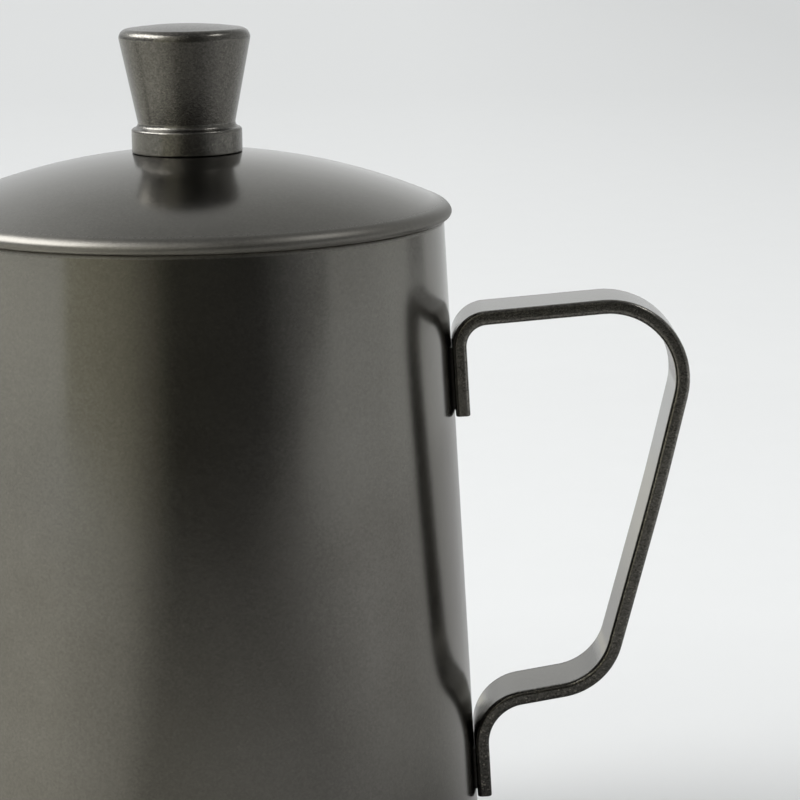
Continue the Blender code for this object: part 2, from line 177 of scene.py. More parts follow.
# Nearer points are merged, larger turns stay sharp, and a larger share of bare corners is bare
WELD = 2e-6
SHARP_ANGLE = math.radians(40)
BARE_SHARE = 0.6
FULL_TURN = 2 * math.pi

CORNER_ROUND = CORNER_BEND + BODY_SHEET
SHOULDER_ROUND = SHOULDER_BEND + BODY_SHEET
LIP_ROUND = LIP_BEND + BODY_SHEET
HEM_ROUND = HEM_BEND + LID_SHEET
WALL_SLOPE = (BASE_RADIUS - TOP_RADIUS) / BODY_HEIGHT
WALL_ANGLE = math.atan(WALL_SLOPE)


def wall_radius(z):
    """Outside radius of the pot's straight wall at a height."""
    return BASE_RADIUS - WALL_SLOPE * z


def wall_round_centre(z, radius):
    """Distance from the axis of the centre of a round that touches the wall from inside."""
    return wall_radius(z) - radius / math.cos(WALL_ANGLE)


SHOULDER_CENTRE = wall_round_centre(BODY_HEIGHT - SHOULDER_ROUND, SHOULDER_ROUND)
MOUTH_RADIUS = SHOULDER_CENTRE - MOUTH_LAND - LIP_ROUND
FOOT_INNER = wall_round_centre(CORNER_ROUND, CORNER_ROUND) - FOOT_WIDTH
RIM_TOP = BODY_HEIGHT + REST_GAP - TOUCH

# The lid's heights are from its seat on the pot's rim
LID_Z = BODY_HEIGHT
NOSE_CENTRE = TOP_RADIUS + LID_OVERHANG - HEM_ROUND
NOSE_Z = REST_GAP + HEM_ROUND
DOME_RADIUS = (NOSE_CENTRE**2 + DOME_RISE**2 - HEM_ROUND**2) / (2 * (DOME_RISE - HEM_ROUND))
DOME_CENTRE_Z = NOSE_Z + DOME_RISE - DOME_RADIUS
KNOB_SEAT_ANGLE = math.acos((KNOB_COLLAR_RADIUS - KNOB_SEAT_INSET) / DOME_RADIUS)
KNOB_SEAT_Z = DOME_CENTRE_Z + DOME_RADIUS * math.sin(KNOB_SEAT_ANGLE)
KNOB_FOOT_Z = KNOB_SEAT_Z + REST_GAP
FLAT_WASHER_TOP = KNOB_SEAT_Z - LID_SHEET - REST_GAP
LOCK_WASHER_TOP = FLAT_WASHER_TOP - FLAT_WASHER_THICKNESS - REST_GAP
SCREW_HEAD_TOP = LOCK_WASHER_TOP - LOCK_WASHER_THICKNESS - REST_GAP
SCREW_TIP_Z = SCREW_HEAD_TOP + SCREW_LENGTH
SCREW_HOLE_RADIUS = SCREW_RADIUS + SCREW_CLEARANCE

# Looks. A ramp is (from, to, what it gives at from, what it gives at to), a range only (from, to)
COAT_DARK = (0.176, 0.169, 0.152, 1)
COAT_PALE = (0.196, 0.189, 0.172, 1)
GLINT_COLOUR = (0.42, 0.39, 0.33, 1)
# Painted light: the pale colour mixed into the hem's shaded lower edge
HEM_LIGHT_COLOUR = (0.52, 0.50, 0.46, 1)
CLOUD_SIZE = 0.012
WAVE_SIZE = 0.0011
FINE_SHARE = 0.7
FLECK_RANGE = (0.15, 0.85)
NOISE_RAMP = (0.3, 0.7, 0.0, 1.0)
GLINT_RAMP = (0.90, 1.0, 0.0, 1.0)
CLOUD_ROUGH = 0.015
FLECK_ROUGH = 0.04
STRAP_EDGE_RAMP = (0.0046, 0.0054, 0.12, 1.0)
STRAP_EDGE_ROUGH = 0.06
# Painted shade: a strap's edges are darkened towards their lower end
STRAP_LOWER_SHADE_RAMP = (0.020, 0.070, 0.65, 0.0)
# Painted light on the hem's shaded lower edge
HEM_LIGHT_RAMP = (RIM_TOP, RIM_TOP + 0.0005, 0.8, 0.0)
HEM_ROUGH_RAMP = (LID_Z + 0.0019, LID_Z + 0.0033, 0.25, 0.0)
SHOULDER_ROUGH_RAMP = (RIM_TOP - 0.0008, RIM_TOP - 0.0004, 0.0, 0.25)
LINE_SHADE = 0.86
LINE_ROUGH = 0.05
SMUDGE_ROUGH = 0.05
SMUDGE_SCALE = 90.0
SMUDGE_RAMP = (0.35, 0.7, 0.0, 1.0)
# The colour sockets of a mix node, whose names its other kinds share
MIX_FIRST, MIX_SECOND, MIX_RESULT = 6, 7, 2

# The camera as fitted to the photo's edges
CAMERA_PLACE = (0.0300, -0.41646, 0.16506)
CAMERA_YAW = 0.0043
CAMERA_PITCH = 0.1967
CAMERA_ROLL = -0.0115
SENSOR_WIDTH = 36.0
LENS_LENGTH = 123.75
NEAR_CLIP = 0.01

TABLE_RADIUS = 6.0
TABLE_SIDES = 96
TABLE_DARK = (0.765, 0.775, 0.775, 1)
TABLE_PALE = (0.780, 0.790, 0.790, 1)
TABLE_ROUGH = 0.7
MOTTLE_SCALE = 60.0
# Painted shade on the table: the kettle's shadow near the front, and light falling off far away and
# to the right
TABLE_NEAR_SHADE_RAMP = (0.03, 0.17, 0.90, 1.0)
TABLE_FAR_SHADE_RAMP = (0.25, 1.50, 1.0, 0.88)
TABLE_RIGHT_SHADE_RAMP = (0.06, 0.40, 1.0, 0.88)

WINDOW = dict(direction=(-0.73, 0.06, 0.67), energy=3.5, angle=0.85)
STRIP = dict(direction=(-0.655, -0.25, 0.715), distance=1.3, energy=30.0, size=2.3, size_y=0.55)
SOFTBOX = dict(direction=(0.58, -0.05, 0.81), distance=1.1, energy=0.9, size=0.22, size_y=0.22)

ROOM_COLOUR = (0.985, 1.0, 1.0, 1)
ROOM_HIGH_RAMP = (0.25, 0.80, 0.87, 0.42)
ROOM_TOP_RAMP = (0.80, 1.0, 0.0, -0.19)
ROOM_LEFT_RISE_RAMP = (0.10, 0.75, -0.50, 1.0)
ROOM_LEFT_RAMP = (-0.7, 0.0, 1.0, 0.0)
ROOM_RIGHT_RAMP = (0.05, 0.55, 0.0, 0.32)
ROOM_BEHIND_RAMP = (-0.6, 0.3, 0.15, 1.0)

# Cards that only reflections show
CARD_DISTANCE = 0.47
CARD_ENDS = (1.00, -0.57)
CARD_HEIGHTS = (0.002, 0.90)
SIDE_CARD_ENDS = ((0.83, 0.36), (0.70, 0.56))
SIDE_CARD_HEIGHTS = (0.0, 0.2)
WHITE_CARD = ((-0.5, -2.0), (-0.5, 2.0), (-3.5, 2.0), (-3.5, -2.0))
WHITE_CARD_Z = 0.0005
WHITE_RAMP = (-1.0, -0.5, 1.0, 0.78)
WHITE_BLUE = 0.94
# A dark sheet on the table, seen only in reflections: painted shade of the floor in front of the
# kettle and in its shadow to the right
FLOOR_SHADE_Z = 0.001
FLOOR_SHADE_SIDES = 96
FLOOR_SHADE_CORNER = math.radians(45)
FLOOR_SHADE_FADE = math.radians(20)
CARD_ROUGH = 0.9
# Shades of the dark ones, in front and to the sides; turns bound the right's ramp, in degrees
CARD_SHADE = dict(near=0.075, far=0.075, left=0.98, right=0.63, turns=(27, 82), warmth=0.20)
SIDE_SHADE = dict(near=0.33, far=0.33, left=0.0, right=0.0, turns=(28, 82), warmth=0.10)
FLOOR_SHADE_LEVELS = dict(near=0.34, far=0.12, left=1.00, right=0.50, turns=(5, 76), warmth=0.08)
FRONT_RANGE = (0.15, 0.45)
FAR_LEFT_RANGE = (math.radians(-56), math.radians(-22))
FAR_LEFT_SHARE = 0.30
NEAR_LEFT_RANGE = (math.radians(-24), math.radians(-1))
NEAR_LEFT_SHARE = 0.48
WARM_RANGE = (math.radians(-10), math.radians(45))
WARM_RED = 0.2


# Node trees


def feed(tree, node, inputs):
    """Sets a node's inputs, each to a value or to another node's output."""
    for name, value in inputs.items():
        if isinstance(value, bpy.types.NodeSocket):
            tree.links.new(value, node.inputs[name])
        else:
            node.inputs[name].default_value = value


def put(thing, **settings):
    """A thing with its settings put in."""
    for name, value in settings.items():
        setattr(thing, name, value)
    return thing


def place(tree, kind, inputs=None, **settings):
    """A node in a tree, with its settings and its inputs."""
    made = put(tree.nodes.new(kind), **settings)
    feed(tree, made, inputs or {})
    return made


def maths(tree, operation, first, second=0.0):
    """What a number node gives."""
    return place(tree, "ShaderNodeMath", {0: first, 1: second}, operation=operation).outputs[0]


def times(tree, first, second):
    """One number times another."""
    return maths(tree, "MULTIPLY", first, second)


def plus(tree, first, second):
    """One number and another."""
    return maths(tree, "ADD", first, second)


def vectors(tree, operation, first, second=(0, 0, 0)):
    """What a vector node gives: a number for a length or a dot product, else a vector."""
    made = place(tree, "ShaderNodeVectorMath", {0: first, 1: second}, operation=operation)
    return made.outputs["Value" if operation in ("LENGTH", "DOT_PRODUCT") else "Vector"]


def scaled(tree, vector, factor):
    """A vector or a colour times a number."""
    inputs = {0: vector, "Scale": factor}
    return place(tree, "ShaderNodeVectorMath", inputs, operation="SCALE").outputs["Vector"]


def spread(tree, value, low, high, to_low, to_high):
    """A value's range turned into another, held at its ends."""
    inputs = {"Value": value, "From Min": low, "From Max": high}
    inputs.update({"To Min": to_low, "To Max": to_high})
    return place(tree, "ShaderNodeMapRange", inputs).outputs[0]


def new_tree(name, kind, inputs, outputs):
    """An empty node tree with named inputs and outputs, listed by kind."""
    tree = bpy.data.node_groups.new(name, kind)
    for way, sockets in (("INPUT", inputs), ("OUTPUT", outputs)):
        for holds, labels in sockets.items():
            for label in labels:
                tree.interface.new_socket(label, in_out=way, socket_type="NodeSocket" + holds)
    return tree, place(tree, "NodeGroupInput").outputs


def shape_tree(name, **inputs):
    """An empty Geometry Nodes tree that takes and gives geometry, with more inputs."""
    geometry = {"Geometry": ("Geometry",)}
    return new_tree(name, "GeometryNodeTree", {**geometry, **inputs}, geometry)


def attribute(tree, name, kind="FLOAT"):
    """A value that the shape carries under a name."""
    carried = place(tree, "GeometryNodeInputNamedAttribute", {"Name": name}, data_type=kind)
    return carried.outputs["Attribute"]


def end_tree(tree, geometry, finish, bare_finish=None):
    """Welds the shape, makes it real and gives it its finishes."""
    merged = place(tree, "GeometryNodeMergeByDistance", {"Geometry": geometry, "Distance": WELD})
    real = place(tree, "GeometryNodeRealizeInstances", {"Geometry": merged.outputs[0]})
    done = place(tree, "GeometryNodeSetMaterial", {"Geometry": real.outputs[0], "Material": finish})
    if bare_finish is not None:
        sides = {"A": attribute(tree, "bare"), "B": BARE_SHARE}
        bare = place(tree, "FunctionNodeCompare", sides, operation="GREATER_THAN")
        inner = {"Geometry": done.outputs[0], "Selection": bare.outputs[0], "Material": bare_finish}
        done = place(tree, "GeometryNodeSetMaterial", inner)
    place(tree, "NodeGroupOutput", {"Geometry": done.outputs[0]})
    return tree


def rounded(tree, line, steps, radius):
    """A curve with its corners rounded."""
    inputs = {"Curve": line, "Count": steps, "Radius": radius, "Limit Radius": True}
    return place(tree, "GeometryNodeFilletCurve", inputs, mode="POLY").outputs[0]


def rounded_line(tree, geometry, steps):
    """The corners as a curve, each rounded to its own radius."""
    line = place(tree, "GeometryNodeMeshToCurve", {"Mesh": geometry}).outputs[0]
    return rounded(tree, line, steps, attribute(tree, "round"))


def circle(tree, sides, radius):
    """A round curve."""
    inputs = {"Resolution": sides, "Radius": radius}
    return place(tree, "GeometryNodeCurvePrimitiveCircle", inputs).outputs["Curve"]


def swept(tree, line, section, more=None):
    """A section carried along a line as a mesh."""
    inputs = {"Curve": line, "Profile Curve": section, **(more or {})}
    return place(tree, "GeometryNodeCurveToMesh", inputs).outputs[0]


def turned_tree():
    """A piece turned about the Z axis from its outline in the XZ plane."""
    tree, given = shape_tree(
        "turned_piece",
        Int=("Sides", "Bend Steps"),
        Float=("Path Radius",),
        Material=("Finish", "Bare Finish"),
    )
    outline = rounded_line(tree, given["Geometry"], given["Bend Steps"])
    back = times(tree, given["Path Radius"], -1.0)
    shift = place(tree, "ShaderNodeCombineXYZ", {"X": back}).outputs[0]
    moved = {"Geometry": outline, "Translation": shift, "Rotation": (math.pi / 2, 0, 0)}
    upright = place(tree, "GeometryNodeTransform", moved)
    path = circle(tree, given["Sides"], given["Path Radius"])
    piece = swept(tree, path, upright.outputs[0])
    return end_tree(tree, piece, given["Finish"], given["Bare Finish"])


def strap_tree():
    """A flat bar with rounded edges, bent along a line of corners."""
    tree, given = shape_tree(
        "bent_strap",
        Float=("Width", "Thickness", "Edge Round"),
        Int=("Bend Steps",),
        Material=("Finish",),
    )
    line = rounded_line(tree, given["Geometry"], given["Bend Steps"])
    size = {"Width": given["Width"], "Height": given["Thickness"]}
    bar = place(tree, "GeometryNodeCurvePrimitiveQuadrilateral", size)
    section = rounded(tree, bar.outputs[0], STRAP_EDGE_STEPS, given["Edge Round"])
    return end_tree(tree, swept(tree, line, section, {"Fill Caps": True}), given["Finish"])


def spout_tree():
    """A narrowing pipe's outside along a line of corners, with a slanted mouth."""
    tree, given = shape_tree(
        "narrowing_spout",
        Float=("Root Radius", "Tip Radius", "Mouth Slant", "Mouth Share"),
        Int=("Sides", "Rings"),
        Material=("Finish",),
    )
    bends = rounded_line(tree, given["Geometry"], SPOUT_BEND_STEPS)
    line = place(tree, "GeometryNodeResampleCurve", {"Curve": bends, "Count": given["Rings"]})
    share = place(tree, "GeometryNodeSplineParameter").outputs["Factor"]
    left = maths(tree, "SUBTRACT", 1.0, share)
    taper = maths(tree, "SUBTRACT", given["Root Radius"], given["Tip Radius"])
    wider = times(tree, taper, maths(tree, "POWER", left, 2.0))
    radius = plus(tree, given["Tip Radius"], wider)
    from_mouth = maths(tree, "DIVIDE", left, given["Mouth Share"])
    near_mouth = maths(tree, "MAXIMUM", maths(tree, "SUBTRACT", 1.0, from_mouth), 0.0)
    slant = times(tree, given["Mouth Slant"], near_mouth)
    tangent = place(tree, "GeometryNodeInputTangent").outputs[0]
    position = place(tree, "GeometryNodeInputPosition").outputs[0]
    kept = line.outputs[0]
    for name, value in (("along", tangent), ("middle", position), ("slant", slant)):
        kind = "FLOAT" if name == "slant" else "FLOAT_VECTOR"
        inputs = {"Geometry": kept, "Name": name, "Value": value}
        kept = place(tree, "GeometryNodeStoreNamedAttribute", inputs, data_type=kind).outputs[0]
    pipe = swept(tree, kept, circle(tree, given["Sides"], 1.0), {"Scale": radius})
    along = attribute(tree, "along", "FLOAT_VECTOR")
    upright = vectors(tree, "CROSS_PRODUCT", (0, 1, 0), along)
    out = vectors(tree, "SUBTRACT", position, attribute(tree, "middle", "FLOAT_VECTOR"))
    height = vectors(tree, "DOT_PRODUCT", out, upright)
    ahead = times(tree, height, attribute(tree, "slant"))
    offset = scaled(tree, along, times(tree, ahead, -1.0))
    cut = place(tree, "GeometryNodeSetPosition", {"Geometry": pipe, "Offset": offset})
    return end_tree(tree, cut.outputs[0], given["Finish"])


def bead_tree():
    """A weld bead: a closed round line along a ring of points."""
    tree, given = shape_tree("weld_bead", Float=("Bead Radius",), Material=("Finish",))
    line = place(tree, "GeometryNodeMeshToCurve", {"Mesh": given["Geometry"]}).outputs[0]
    bead = swept(tree, line, circle(tree, BEAD_SIDES, given["Bead Radius"]))
    return end_tree(tree, bead, given["Finish"])


def give_tree(obj, tree, values):
    """An object with a tree put on it, its inputs set by name."""
    modifier = obj.modifiers.new(tree.name, "NODES")
    modifier.node_group = tree
    for item in tree.interface.items_tree:
        if item.item_type == "SOCKET" and item.in_out == "INPUT" and item.name in values:
            modifier[item.identifier] = values[item.name]
    return obj


# Shapes


def linked(name, data):
    """A new object in the scene."""
    obj = bpy.data.objects.new(name, data)
    bpy.context.scene.collection.objects.link(obj)
    return obj


def mesh_of(name, shape):
    """A built shape as a mesh; the shape is freed."""
    mesh = bpy.data.meshes.new(name)
    shape.to_mesh(mesh)
    shape.free()
    return mesh


def lines_object(name, points, closed):
    """Corners joined in order as a mesh of edges: (x, y, z, round, bare)."""
    mesh = bpy.data.meshes.new(name)
    count = len(points)
    edges = [(i, (i + 1) % count) for i in range(count if closed else count - 1)]
    mesh.from_pydata([point[:3] for point in points], edges, [])
    for column, label in ((3, "round"), (4, "bare")):
        values = mesh.attributes.new(label, "FLOAT", "POINT")
        values.data.foreach_set("value", [point[column] for point in points])
    return linked(name, mesh)


def bent_line(name, corners, bends, side):
    """A line of (distance, height) corners to one side, with bends between its ends."""
    rounds = (0.0, *bends, 0.0)
    points = [(side * corner.x, 0.0, corner.y, bend, 0.0) for corner, bend in zip(corners, rounds)]
    return lines_object(name, points, False)


def real_mesh(obj):
    """The evaluated object as a plain mesh; the object is removed."""
    graph = bpy.context.evaluated_depsgraph_get()
    mesh = bpy.data.meshes.new_from_object(obj.evaluated_get(graph), depsgraph=graph)
    bpy.data.objects.remove(obj)
    return mesh


def clean_mesh(mesh):
    """Merges doubles, drops slivers and turns the faces outwards."""
    shape = bmesh.new()
    shape.from_mesh(mesh)
    bmesh.ops.remove_doubles(shape, verts=shape.verts, dist=WELD)
    bmesh.ops.dissolve_degenerate(shape, edges=shape.edges, dist=WELD)
    bmesh.ops.recalc_face_normals(shape, faces=shape.faces)
    shape.to_mesh(mesh)
    shape.free()
    for name in ("round", "bare", "along", "middle", "slant"):
        if name in mesh.attributes:
            mesh.attributes.remove(mesh.attributes[name])
    mesh.shade_smooth()
    mesh.set_sharp_from_angle(angle=SHARP_ANGLE)
    return mesh


def clean_object(name, obj):
    """An object made plain and clean; the first one is removed."""
    return linked(name, clean_mesh(real_mesh(obj)))


def finished(name, obj, body, slot, *nodes):
    """A shape as a plain, evenly shaded piece that rides on its body."""
    shaped = clean_object(name + "_shape", obj)
    put(shaped.modifiers.new("even_shading", "WEIGHTED_NORMAL"), keep_sharp=True)
    mesh = real_mesh(shaped)
    mesh.name = name
    piece = linked(name, mesh)
    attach(piece, body)
    if nodes:
        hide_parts(*nodes)


def cut_with(obj, cutter):
    """Takes a closed shape away from an object, at once."""
    modifier = obj.modifiers.new("cut", "BOOLEAN")
    put(modifier, operation="DIFFERENCE", solver="EXACT", object=cutter)
    name = obj.name
    mesh = real_mesh(obj)
    bpy.data.objects.remove(cutter)
    return linked(name, mesh)


def arc(centre_r, centre_z, radius, start, end, steps):
    """Points along an arc in the (r, z) plane, both ends included, angles from +r towards +z."""
    angles = [start + (end - start) * i / steps for i in range(steps + 1)]
    return [(centre_r + radius * math.cos(a), centre_z + radius * math.sin(a), 0.0) for a in angles]


def sheet(line, thickness, edge=CUT_EDGE):
    """The closed outline of a sheet from one face's corners (r, z, round).

    The other face, the bare one, lies to the left. Corners come back as (r, z, round, bare).
    """
    flat = [Vector(corner[:2]) for corner in line]
    runs = [(b - a).normalized() for a, b in zip(flat, flat[1:])]
    other = []
    for i, corner in enumerate(line):
        before = runs[max(i - 1, 0)]
        after = runs[min(i, len(runs) - 1)]
        mitre = Vector((-before.y - after.y, before.x + after.x)).normalized()
        reach = thickness / mitre.dot(Vector((-after.y, after.x)))
        turn = before.x * after.y - before.y * after.x
        inner = 0.0
        if corner[2]:
            inner = max(corner[2] - math.copysign(thickness, turn), 0.0)
        other.append((*(flat[i] + mitre * reach), inner, 1.0))
    outline = plain(line) + other[::-1]
    count = len(line)
    for i in (0, count - 1, count, 2 * count - 1):
        outline[i] = (*outline[i][:2], edge, outline[i][3])
    return outline


def plain(corners):
    """Corners (r, z, round) of an outline with no bare face."""
    return [(*corner, 0.0) for corner in corners]


def turned(name, outline, sides, finish, bare_finish=None, closed=True, lift=0.0):
    """An object turned from (r, z, round, bare) corners."""
    points = [(corner[0], 0.0, corner[1] + lift, *corner[2:4]) for corner in outline]
    path = {"Sides": sides, "Path Radius": max(point[0] for point in points)}
    looks = {"Finish": finish, "Bare Finish": bare_finish or finish}
    values = {**path, "Bend Steps": BEND_STEPS, **looks}
    return give_tree(lines_object(name, points, closed), TURNED, values)


def turned_cutter(name, corners, sides):
    """A closed shape turned from (r, z) corners, to cut others with."""
    outline = plain([(r, z, 0.0) for r, z in corners])
    return clean_object(name, turned(name, outline, sides, COAT, closed=False))


def prism(low, high):
    """A closed shape between two rings of spots."""
    shape = bmesh.new()
    under, over = ([shape.verts.new(spot) for spot in ring] for ring in (low, high))
    shape.faces.new(under[::-1])
    shape.faces.new(over)
    for i in range(len(under)):
        after = (i + 1) % len(under)
        shape.faces.new((under[i], under[after], over[after], over[i]))
    return shape


def pot_shell():
    """The pot's sheet: foot, straight wall, shoulder, lip turned down inside, and spout's hole."""
    low = WALL_ROUNDS_CLEAR * CORNER_ROUND
    high = BODY_HEIGHT - WALL_ROUNDS_CLEAR * SHOULDER_ROUND
    heights = [low + (high - low) * i / WALL_ROWS for i in range(WALL_ROWS + 1)]
    line = [
        (FOOT_INNER, 0.0, 0.0),
        (BASE_RADIUS, 0.0, CORNER_ROUND),
        *((wall_radius(z), z, 0.0) for z in heights),
        (wall_radius(RIM_TOP), RIM_TOP, RIM_CORNER),
        (MOUTH_RADIUS, RIM_TOP, LIP_ROUND),
        (MOUTH_RADIUS, BODY_HEIGHT - LIP_DEPTH, 0.0),
    ]
    obj = turned("pot", sheet(line, BODY_SHEET), POT_SIDES, COAT, INSIDE)
    root, outwards = spout_corners()[4:]
    radius = SPOUT_ROOT_RADIUS - SPOUT_SHEET - SPOUT_HOLE_STEP
    end = SPOUT_ROOT_RADIUS
    hole = turned_cutter("hole", [(0, -end), (radius, -end), (radius, end), (0, end)], SPOUT_SIDES)
    lean = Matrix.Rotation(math.atan2(-outwards.x, outwards.y), 4, "Y")
    hole.data.transform(Matrix.Translation((-root.x, 0, root.y)) @ lean)
    finished("pot_shell", cut_with(obj, hole), "kettle", "dark_coating", "body_shell")


def pot_base():
    """The pressed disc in the foot, with a step up to the lap on the foot's edge."""
    lap_z = BODY_SHEET + REST_GAP
    step_top = FOOT_INNER - BASE_STEP_ROOM
    line = [
        (0.0, 0.0, 0.0),
        (step_top - BASE_STEP_RUN, 0.0, BASE_LOWER_ROUND),
        (step_top, lap_z, BASE_UPPER_ROUND),
        (FOOT_INNER + BASE_LAP, lap_z, 0.0),
    ]
    outline = sheet(line, BASE_SHEET)
    outline[0] = (*outline[0][:2], 0.0, 0.0)
    outline[-1] = (*outline[-1][:2], 0.0, 1.0)
    obj = turned("base", outline, POT_SIDES, COAT, INSIDE, closed=False)
    finished("pot_base", obj, "kettle", "dark_coating", "base_plate")


def spout_corners():
    """The spout's line as (distance from the axis, height).

    Its four corners come first, then its point on the wall and its first direction.
    """
    root = Vector((wall_radius(SPOUT_ROOT_HEIGHT), SPOUT_ROOT_HEIGHT))
    outwards = Vector((math.cos(SPOUT_ROOT_RISE), math.sin(SPOUT_ROOT_RISE)))
    inside = root - outwards * SPOUT_ROOT_INSET
    lower = root + outwards * (SPOUT_ROOT_RUN / outwards.x)
    upper_z = BODY_HEIGHT - SPOUT_TIP_DROP
    upper = Vector((lower.x + (upper_z - lower.y) * math.tan(SPOUT_NECK_LEAN), upper_z))
    tip = upper + Vector((SPOUT_BEAK_RUN, -SPOUT_BEAK_RUN * math.tan(SPOUT_BEAK_FALL)))
    return inside, lower, upper, tip, root, outwards


def spout_length():
    """Length of the spout's rounded line."""
    inside, lower, upper, tip = spout_corners()[:4]
    length = (lower - inside).length + (upper - lower).length + (tip - upper).length
    bends = ((inside, lower, upper, SPOUT_LOWER_BEND), (lower, upper, tip, SPOUT_UPPER_BEND))
    for before, corner, after, bend in bends:
        turn = (corner - before).angle(after - corner)
        length += bend * (turn - 2 * math.tan(turn / 2))
    return length


def pour_spout():
    """The spout's sheet along its bent line, cut off where it meets the pot's wall."""
    line = bent_line("spout", spout_corners()[:4], (SPOUT_LOWER_BEND, SPOUT_UPPER_BEND), -1)
    values = {
        "Root Radius": SPOUT_ROOT_RADIUS,
        "Tip Radius": SPOUT_TIP_RADIUS,
        "Mouth Slant": MOUTH_EASE * math.tan(SPOUT_TIP_CUT),
        "Mouth Share": SPOUT_TIP_CUT_RUN / spout_length(),
        "Sides": SPOUT_SIDES,
        "Rings": SPOUT_RINGS,
        "Finish": COAT,
    }
    outside = clean_object("spout", give_tree(line, SPOUT, values))
    outside.data.materials.append(INSIDE)
    wall = outside.modifiers.new("wall", "SOLIDIFY")
    put(wall, thickness=SPOUT_SHEET, offset=-1.0, material_offset=1, material_offset_rim=0)
    clear = REST_GAP / math.cos(WALL_ANGLE)
    foot, top = (wall_radius(z) + clear for z in (0, BODY_HEIGHT))
    cone = [(0.0, 0.0), (foot, 0.0), (top, BODY_HEIGHT), (0.0, BODY_HEIGHT)]
    trim = turned_cutter("trim", cone, POT_SIDES)
    finished("pour_spout", cut_with(outside, trim), "kettle", "dark_coating", "spout_tube")


def spout_weld():
    """The bead along the ring where the spout meets the wall."""
    inside, lower, _, _, _, outwards = spout_corners()
    over = Vector((-outwards.y, outwards.x))
    run = (lower - inside).length
    full = spout_length()
    points = []
    for k in range(BEAD_RINGS):
        turn = FULL_TURN * k / BEAD_RINGS
        near, far = 0.0, run
        for _ in range(HALVINGS):
            middle = (near + far) / 2
            narrowing = (1 - middle / full) ** 2
            radius = SPOUT_TIP_RADIUS + (SPOUT_ROOT_RADIUS - SPOUT_TIP_RADIUS) * narrowing
            spot = inside + outwards * middle + over * (radius * math.cos(turn))
            side = radius * math.sin(turn)
            if math.hypot(spot.x, side) < wall_radius(spot.y) + REST_GAP / 2:
                near = middle
            else:
                far = middle
        points.append((-spot.x, side, spot.y, 0.0, 0.0))
    values = {"Bead Radius": SPOUT_WELD_RADIUS, "Finish": COAT}
    obj = give_tree(lines_object("bead", points, True), BEAD, values)
    finished("spout_weld", obj, "kettle", "dark_coating")


def strap_corners():
    """The strap's middle line in the (x, z) plane, from its upper end to its lower."""

    def on_wall(z):
        return Vector((wall_radius(z) + TOUCH + STRAP_THICKNESS / 2, z))

    top = on_wall(BODY_HEIGHT - HANDLE_TOP_DROP)
    bottom = on_wall(HANDLE_BOTTOM_HEIGHT)
    top_run = HANDLE_REACH + REST_GAP - TOUCH
    grip_top = top + Vector((top_run, top_run * math.tan(TOP_RUN_RISE)))
    lean = math.tan(GRIP_LEAN)
    rise = math.tan(LOWER_RUN_RISE)
    reach = (grip_top.x - bottom.x - (grip_top.y - bottom.y) * lean) / (1 - rise * lean)
    grip_bottom = bottom + Vector((reach, reach * rise))
    along = (grip_bottom - grip_top).normalized()
    grip_middle = (grip_top + grip_bottom) / 2 + Vector((-along.y, along.x)) * GRIP_BOW
    upper_end = on_wall(top.y - UPPER_TAB_LENGTH)
    lower_end = on_wall(bottom.y - LOWER_TAB_LENGTH)
    return upper_end, top, grip_top, grip_middle, grip_bottom, bottom, lower_end


def grip_strap():
    """The handle's flat bar, bent five-sided, with softened ends."""
    bends = (UPPER_TAB_BEND, GRIP_TOP_BEND, GRIP_BOW_BEND, GRIP_LOWER_BEND, LOWER_TAB_BEND)
    obj = bent_line("strap", strap_corners(), bends, 1)
    section = {"Width": STRAP_WIDTH, "Thickness": STRAP_THICKNESS, "Edge Round": STRAP_EDGE_ROUND}
    give_tree(obj, STRAP, {**section, "Bend Steps": STRAP_BEND_STEPS, "Finish": STRAP_COAT})
    ends = obj.modifiers.new("soft_ends", "BEVEL")
    put(ends, width=CUT_EDGE, segments=STRAP_END_STEPS)
    put(ends, limit_method="ANGLE", angle_limit=SHARP_ANGLE)
    finished("grip_strap", obj, "kettle", "dark_coating", "handle_strap")


def tab_pads():
    """The braze between each tab's flat back and the pot's round wall, in a coat darkened as
    painted shade of that crevice.
    """
    corners = strap_corners()
    upper = ("upper_pad", corners[1].y, UPPER_TAB_BEND, UPPER_TAB_LENGTH)
    lower = ("lower_pad", corners[-2].y, LOWER_TAB_BEND, LOWER_TAB_LENGTH)
    half = STRAP_WIDTH / 2 - PAD_SETBACK
    sides = [half - half * i / PAD_STEPS for i in range(2 * PAD_STEPS + 1)]
    for name, z, bend, length in (upper, lower):
        rings = []
        for height in (z - length + PAD_END, z - bend):
            wall = wall_radius(height)
            ring = [(math.sqrt(wall**2 - side**2) - PAD_SINK, side, height) for side in sides]
            ring += [(wall + TOUCH + PAD_SINK, side, height) for side in sides[::-1]]
            rings.append(ring)
        mesh = mesh_of(name, prism(*rings))
        mesh.materials.append(PAD_SHADE_COAT)
        finished(name, linked(name + "_block", mesh), "kettle", "dark_coating")


